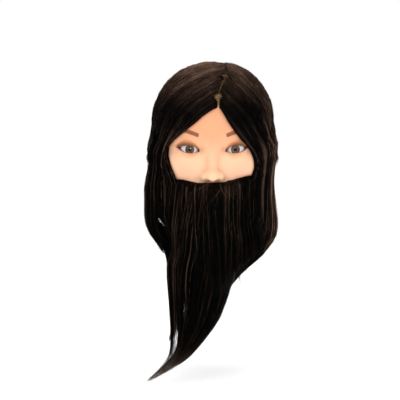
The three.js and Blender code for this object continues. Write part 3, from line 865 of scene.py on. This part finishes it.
def beard_net(tail):
    """Guides across the face. With tail they gather to the tip, and without they fan out."""
    xs, tops = zip(*BEARD_TOP)
    heights, left, right = zip(*BEARD_HALVES)
    net = []
    for u in np.linspace(0, 1, 11):
        x_top = xs[0] + (xs[-1] - xs[0]) * u
        z = np.array([np.interp(x_top, xs, tops)] + BEARD_STEPS)
        low, high = -np.interp(z, heights, left), np.interp(z, heights, right)
        if tail:
            low = low + (edge_x(-1, z) - low) * (1 - smooth(0, 20, z))
            tail_heights, tail_xs = zip(*TAIL_EDGE[::-1])
            high = np.interp(z, tail_heights, tail_xs)
        x = low + (high - low) * u
        surface = skin_y(x, z, BEARD_LIFT)
        y = surface.copy()
        for k in range(1, len(z)):
            slack = 0.05 * (z[k - 1] - z[k])
            y[k] = min(surface[k] if z[k] > CHIN_Z else 0, y[k - 1] + slack)
        middle_y = -104 + 0.05 * (100 - z)
        y = y + (middle_y - y) * (1 - smooth(-130, 40, z)) * (0.9 if tail else 0.4)
        net.append(np.column_stack([x, y, z]))
    return np.array(net)


def settle_beard(points, v, t, lift):
    edge = smooth(0, 0.08, np.minimum(v, 1 - v))
    lift = lift * (0.5 + 0.5 * edge)
    points = push(points, -20, lift - BEARD_LIFT)
    return lay(points, lift * (1 - np.exp(-150 * t)) + 0.4, np.exp(-20 * t))


# ---- Hair: strands and the mass under them ----

STATIONS = 16
STRANDS = 2000  # in one mesh
SWAY = 0.8  # how far a strand wanders sideways
CLUMP_SWAY = 2.2  # how far a clump of strands wanders

# Gaps that daylight shows through, as the camera sees them: (height, x) down each one, and its width
SLITS = [
    ([(84, -82), (54, -72), (28, -64)], 12.0),
    ([(76, 66), (46, 80), (18, 92)], 12.0),
    ([(-30, -42), (-66, -39)], 3.6),
    ([(-60, -50), (-90, -51), (-111, -57), (-130, -73)], 4.6),
]
SLIT_REACH = 16  # strands this near a slit, on its inner side, are pushed inwards
CROSS_SLITS = 0.03  # of the strands cross the slits all the same


def seen(points):
    """Where the camera sees points, as (x, height) in the plane of its target."""
    offset = points - (TARGET + CAMERA_BACK * CAMERA_DISTANCE)
    depth = -(offset @ CAMERA_BACK)
    up = np.array([0, CAMERA_BACK[2], -CAMERA_BACK[1]])
    scale = CAMERA_DISTANCE / depth
    return TARGET[0] + offset[..., 0] * scale, TARGET[2] + (offset @ up) * scale


def open_slits(paths):
    """Bends strands round the slits."""
    paths = paths.copy()
    for line, width in SLITS:
        x, z = seen(paths)
        heights, xs = zip(*line[::-1])
        down = np.clip((z - heights[0]) / (heights[-1] - heights[0]), 0, 1)
        inwards = -np.sign(xs[0])
        aside = (x - np.interp(z, heights, xs)) * inwards
        opening = width * np.sin(np.pi * down) ** 0.7 * (aside > 0)
        paths[..., 0] += inwards * opening * np.clip(1 - aside / SLIT_REACH, 0, 1)
    return paths


def painted_light_and_tone(x, y, z):
    """Painted sheen on the crown and the right side, painted shade on the lower left side, and the beard's
    middle darker and its top and the tail's tip lighter: how much lighter than its colour hair looks at
    each place.
    """
    # painted sheen over the crown, strongest at the top and weaker on the right
    crown = (0.47 - 0.07 * smooth(-10, 30, x)) * smooth(200, 268, z) + 0.2 * smooth(262, 284, z)
    beard_middle = -0.06 * (1 - smooth(88, 110, z)) * smooth(-120, -80, z) * (1 - smooth(50, 66, np.abs(x)))
    beard_top = 0.14 * (1 - smooth(-92, -75, y)) * smooth(92, 120, z) * (1 - smooth(130, 140, z))
    # painted sheen: greyer on the right side
    right_side_sheen = 0.24 * smooth(60, 84, x)
    # painted shade: darker on the lower left side
    left_side_shade = -0.07 * (1 - smooth(-80, -60, x)) * (1 - smooth(180, 220, z))
    tail_tip = 0.5 * (1 - smooth(-146, -96, z))
    return crown + beard_middle + beard_top + right_side_sheen + left_side_shade + tail_tip


def strand_mesh(name, paths, radius, tone_and_sheen, material):
    """Closed three-sided strands that thin out to their tips, as one mesh."""
    count, stations = paths.shape[:2]
    tangent = np.gradient(paths, axis=1)
    tangent /= np.maximum(np.linalg.norm(tangent, axis=-1, keepdims=True), 1e-6)
    away = paths - np.array([0, 10, 0])
    away[..., 2] = np.maximum(paths[..., 2] - 175, 0)
    across = np.cross(tangent, away)
    across /= np.maximum(np.linalg.norm(across, axis=-1, keepdims=True), 1e-6)
    up = np.cross(across, tangent)
    along = np.linspace(0, 1, stations)
    taper = (0.55 + 0.45 * smooth(0, 0.08, along)) * (1 - 0.9 * smooth(0.5, 1.0, along))
    size = radius[:, None] * taper[None]
    angles = np.radians([90, 210, 330])
    ring = across[:, :, None] * np.cos(angles)[:, None] + up[:, :, None] * (0.75 * np.sin(angles))[:, None]
    points = paths[:, :, None] + ring * size[:, :, None, None]
    index = np.arange(count * stations * 3).reshape(count, stations, 3)
    after = np.roll(index, -1, axis=2)
    quads = np.stack([index[:, :-1], after[:, :-1], after[:, 1:], index[:, 1:]], -1)
    caps = np.concatenate([index[:, 0, ::-1], index[:, -1]])
    made = mesh_object(name, points.reshape(-1, 3), quads, caps, [material])
    phase = 400 * radius[:, None]
    streak = 0.06 * np.sin(phase + along * 7) + 0.04 * np.sin(phase * 3 + along * 19)
    varied = 0.65 + 0.7 * np.abs(np.sin(phase * 7))
    calm = 1 - 0.6 * smooth(175, 225, paths[..., 2])
    # the strand's own tone plus the painted sheen and shade of the hair at each place
    tone_and_sheen = (tone_and_sheen[:, None] + streak) * calm + painted_light_and_tone(*np.moveaxis(paths, -1, 0)) * varied
    tone_and_sheen = np.clip(tone_and_sheen, 0, 1)
    paint(made, "tone_and_sheen", np.repeat(tone_and_sheen.ravel(), 3))
    return made


def strands(
    name, material, rng, sheet, v_range, tips, lifts, clumps,
    starts=(0.0, 0.012), stray=0.035, count=STRANDS, lean=3.0,
):
    """Strands in clumps that follow a sheet.

    tips(v, rng) gives the height where each one ends, and lifts are how far over the sheet's middle they
    lie. stray is the share of loose strands, and lean how far the clumps cross over each other.
    """
    v = rng.uniform(*v_range, count)
    centres = rng.uniform(v_range[0], v_range[1], clumps)
    clump = np.abs(v[:, None] - centres[None]).argmin(1)
    end = sheet.down_to(v, tips(v, rng))
    begin = np.minimum(rng.uniform(*starts, count), end * 0.75)
    share = np.linspace(0, 1, STATIONS)[None]
    t = begin[:, None] + (end - begin)[:, None] * share
    gather = rng.uniform(0.1, 0.8, count)[:, None] * smooth(0.1, 1.0, share)
    v_path = v[:, None] + (centres[clump] - v)[:, None] * gather
    loose = np.where(rng.random(count) < stray, 3.0, 1.0)[:, None]
    phase = rng.uniform(0, 2 * np.pi, (count, 1))
    sway = np.sin(phase + share * rng.uniform(2, 5, (count, 1))) - np.sin(phase)
    turn = rng.uniform(0, 2 * np.pi, clumps)[clump][:, None]
    pace = rng.uniform(2, 5, clumps)[clump][:, None]
    together = CLUMP_SWAY * (np.sin(turn + share * pace) - np.sin(turn))
    across = rng.normal(0, lean, clumps)[clump][:, None]
    across = np.where(v[:, None] > 0.7, -np.abs(across), across)  # so none leans out past the far edge
    v_path = v_path + (SWAY * loose * sway + together + across) * share / sheet.span()
    light = rng.normal(0.02, 0.1, clumps)[clump] + rng.normal(0.03, 0.08, count)
    light = np.maximum(light, 0) + 0.45 * (rng.random(count) < 0.05)
    lift = rng.uniform(*lifts, count) + rng.normal(0, 0.5, clumps)[clump] + 1.2 * (loose[:, 0] > 1)
    lift = lift + 1.0 * (light > 0.5)
    paths = sheet.at(np.clip(np.abs(v_path), 0, 1), t, lift[:, None])
    drift = rng.normal(0, 1, (count, 1, 3)) * np.array([0.6, 0.6, 0.1]) * share[..., None] ** 2
    paths = paths + drift * loose[..., None]
    crossing = rng.random(count) < CROSS_SLITS
    paths = np.where(crossing[:, None, None], paths, open_slits(paths))
    radius = rng.uniform(0.22, 0.46, count) * np.where(loose[:, 0] > 1, 0.45, 1.0)
    return strand_mesh(name, paths, radius, np.clip(light, 0, 1), material)


def flicks(name, material, rng, side):
    """Short layered hair over the ear, whose tips flick outwards."""
    count = 260
    share = np.linspace(0, 1, STATIONS)[None]
    top, tip = rng.uniform(178, 205, (count, 1)), rng.normal(142, 5, (count, 1))
    z = top + (tip - top) * share
    y = rng.uniform(-34, 34, (count, 1)) + rng.normal(0, 3, (count, 1)) * share
    out = rng.uniform(-5, -2, (count, 1)) + rng.uniform(2, 7, (count, 1)) * smooth(0.4, 1.0, share)
    x = edge_x(side, z) - side * (y / 40) ** 2 * 6 + side * out
    light = np.clip(rng.normal(0.15, 0.15, count), 0, 1)
    return strand_mesh(name, np.stack([x, y, z], -1), rng.uniform(0.2, 0.4, count), light, material)


def slab(name, material, sheet, v_range, end_height, lift, thickness, columns, rows, start=0.0):
    """The dark mass under the strands: a closed slab with fine grooves along the flow."""
    v = np.linspace(*v_range, columns)
    t = start + np.linspace(0, 1, rows)[:, None] * (sheet.down_to(v, end_height(v))[None] - start)
    vv = np.repeat(v[None], rows, 0)
    groove = 0.7 * wave(SEED + 3, vv * 420, 4) + 0.4 * wave(SEED + 4, vv * 1300 + t * 5)
    middle = sheet.at(vv, t, lift)
    outer = sheet.at(vv, t, lift + groove)
    normal = np.cross(np.gradient(middle, axis=0), np.gradient(middle, axis=1))
    normal /= np.maximum(np.linalg.norm(normal, axis=-1, keepdims=True), 1e-6)
    facing = np.sign(np.mean(np.sum(normal * (middle - np.array([0, 10, 100])), -1)))
    inner = middle - normal * facing * thickness
    order = 1 if facing > 0 else -1
    points, quads = thick_sheet(outer[:, ::order], inner[:, ::order])
    made = mesh_object(name, points, quads, (), [material])
    paint(made, "tone_and_sheen", np.full(len(points), 0.02))
    return made


def crown_hair(side, label, material):
    """The rooted hair of one side: a side lock in front, and the long hair behind."""
    rng = np.random.default_rng(SEED + 10 + side)
    sheet = Sheet(crown_net(side), settle_crown(side))
    lowest, highest = LOCK_TIPS[side]
    lifts = (CROWN_LIFT * 0.85, CROWN_LIFT * 1.1)

    def lock_tips(v, rng):
        ragged = lowest + (highest - lowest) * rng.random(len(v)) ** 1.6
        return np.where(v < 0.08, np.maximum(ragged, 60 - 400 * v), ragged)

    def long_tips(v, rng):
        return -118 + 130 * rng.random(len(v)) ** 1.5

    def rooted(kind, v_range, tips, clumps):
        names = [f"{kind}_strands_{k}_{label}" for k in (1, 2)]
        return [strands(name, material, rng, sheet, v_range, tips, lifts, clumps) for name in names]

    def base(kind, v_range, end, wave_seed, wave_rate, columns):
        def end_height(v):
            return end + 8 * wave(wave_seed, v * wave_rate)

        name = f"{kind}_base_{label}"
        return slab(name, material, sheet, v_range, end_height, CROWN_LIFT * 0.6, 3.0, columns, 50, 0.012)

    lock = rooted("lock", (0, LOCK_END), lock_tips, 60)
    lock.append(base("lock", (0.015, LOCK_END + 0.01), 80, SEED, 60, 200))
    lock.append(flicks(f"flicks_{label}", material, rng, side))
    long = rooted("long", (LOCK_END, 1), long_tips, 50)
    long.append(base("long", (LOCK_END - 0.01, 1.0), 78, SEED + 1, 70, 160))
    return lock, long


def beard_hair(material):
    rng = np.random.default_rng(SEED + 30)
    fan, tail = Sheet(beard_net(False), settle_beard), Sheet(beard_net(True), settle_beard)

    def fan_end(v):
        return np.interp(v, [0, 0.5, 0.6, 0.7, 0.8, 0.9, 1], [-40, -36, -24, -10, 2, 14, 26])

    def fan_tips(v, rng):
        return fan_end(v) + 5 + 45 * rng.random(len(v)) ** 2

    def short_tips(v, rng):
        return 70 + 40 * rng.random(len(v))

    def fan_base(v):
        return np.maximum(fan_end(v) + 12, 6) + 4 * wave(SEED + 5, v * 90)

    def tail_tips(v, rng):
        stops = [0, 0.05, 0.22, 0.42, 0.65, 0.85, 1]
        tips = np.interp(rng.random(len(v)), stops, [-149, -144, -133, -118, -96, -70, -10])
        return np.where(v < 0.2, np.minimum(tips, -108 - 38 * rng.random(len(v))), tips)

    def tail_base(v):
        return -116 + 8 * wave(SEED + 2, v * 70)

    def of_beard(name, *settings, **more):
        return strands(name, material, rng, *settings, **more)

    lifts = (5.0, 9.0)
    return [
        of_beard("beard_strands_1", fan, (0, 1), fan_tips, lifts, 60, starts=(0.0, 0.004), lean=9.0),
        of_beard("beard_strands_2", fan, (0, 1), fan_tips, lifts, 60, starts=(0.0, 0.2), lean=14.0),
        of_beard(
            "beard_short_hairs", fan, (0.04, 0.96), short_tips, (6.5, 9.5), 90,
            starts=(0.0, 0.06), stray=0.1, count=700, lean=14.0,
        ),
        of_beard("beard_tail_strands", tail, (0, 1), tail_tips, (2.0, 7.0), 50, starts=(0.02, 0.3)),
        slab("beard_base", material, fan, (0.01, 0.99), fan_base, 4.0, 3.0, 200, 50),
        slab("beard_tail_base", material, tail, (0.3, 0.97), tail_base, 0.5, 4.0, 160, 90),
    ]


def hang(pieces, body, *nodes):
    """The pieces stand for the CAD nodes, which are hidden; each piece's place is applied to its mesh."""
    for piece in pieces:
        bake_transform(piece)
    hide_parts(*nodes)


def all_hair():
    material = hair_material()
    left_lock, left_long = crown_hair(-1, "left", material)
    right_lock, right_long = crown_hair(1, "right", material)
    hang(left_lock, "left_lock", "crown_hair_left", "side_lock_left")
    hang(right_lock, "right_lock", "crown_hair_right", "side_lock_right")
    hang(left_long + right_long, "long_hair", "nape_hair", "long_hair_fall")
    hang(
        beard_hair(material), "beard_fall",
        "moustache", "cheek_beard_left", "cheek_beard_right", "chin_beard", "beard_fall",
    )


# ---- Carried-over parts, stage, light and camera ----


def carried_parts():
    plastic, foam = base_plastic_material(), foam_material()
    for name, material in (("neck_plug", plastic), ("clamp_socket", plastic), ("foam_core", foam)):
        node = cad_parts[name]
        node.data.materials.clear()
        node.data.materials.append(material)


WORLD_LIGHT = 0.75
FLOOR_GAP = 9.0  # under the tip of the tail
SENSOR_WIDTH = 36.0


def stage():
    floor_z = (TAIL_TIP[2] - FLOOR_GAP) * MM
    bpy.ops.mesh.primitive_plane_add(size=12, location=(0, 0, floor_z))
    floor = bpy.context.object
    floor.name = "stage_floor"
    floor.data.materials.append(floor_material())

    world = bpy.data.worlds.new("studio")
    bpy.context.scene.world = world
    world.use_nodes = True
    tree = world.node_tree
    background = tree.nodes["Background"]
    background.inputs["Color"].default_value = (1, 1, 1, 1)
    camera_ray = tree.nodes.new("ShaderNodeLightPath").outputs["Is Camera Ray"]
    strength = tree.nodes.new("ShaderNodeMapRange")
    strength.inputs["To Min"].default_value = WORLD_LIGHT
    strength.inputs["To Max"].default_value = 1.0
    tree.links.new(camera_ray, strength.inputs["Value"])
    tree.links.new(strength.outputs["Result"], background.inputs["Strength"])

    # Places and sizes in metres, power in watts
    for name, place, size, power in (
        ("key", (-0.6, -1.6, 0.9), 0.9, 8),
        ("fill", (0.9, -1.6, 0.45), 0.12, 4),
        ("top", (0.0, 0.1, 1.6), 1.0, 4),
    ):
        light = bpy.data.lights.new(name, "AREA")
        light.size = size
        light.energy = power
        lamp = bpy.data.objects.new(name, light)
        lamp.location = place
        lamp.rotation_mode = "QUATERNION"
        lamp.rotation_quaternion = (Vector((0, 0, 0.15)) - Vector(place)).to_track_quat("-Z", "Y")
        bpy.context.scene.collection.objects.link(lamp)


def camera():
    data = bpy.data.cameras.new("camera")
    data.sensor_width = SENSOR_WIDTH
    data.lens = SENSOR_WIDTH * CAMERA_DISTANCE / CAMERA_WIDTH
    eye = bpy.data.objects.new("camera", data)
    eye.location = (TARGET + CAMERA_BACK * CAMERA_DISTANCE) * MM
    eye.rotation_mode = "QUATERNION"
    eye.rotation_quaternion = Vector(-CAMERA_BACK).to_track_quat("-Z", "Y")
    bpy.context.scene.collection.objects.link(eye)
    bpy.context.scene.camera = eye


bpy.context.scene.view_settings.view_transform = "Standard"
face_skin()
eyes()
all_hair()
carried_parts()
stage()
camera()

bpy.context.view_layer.update()
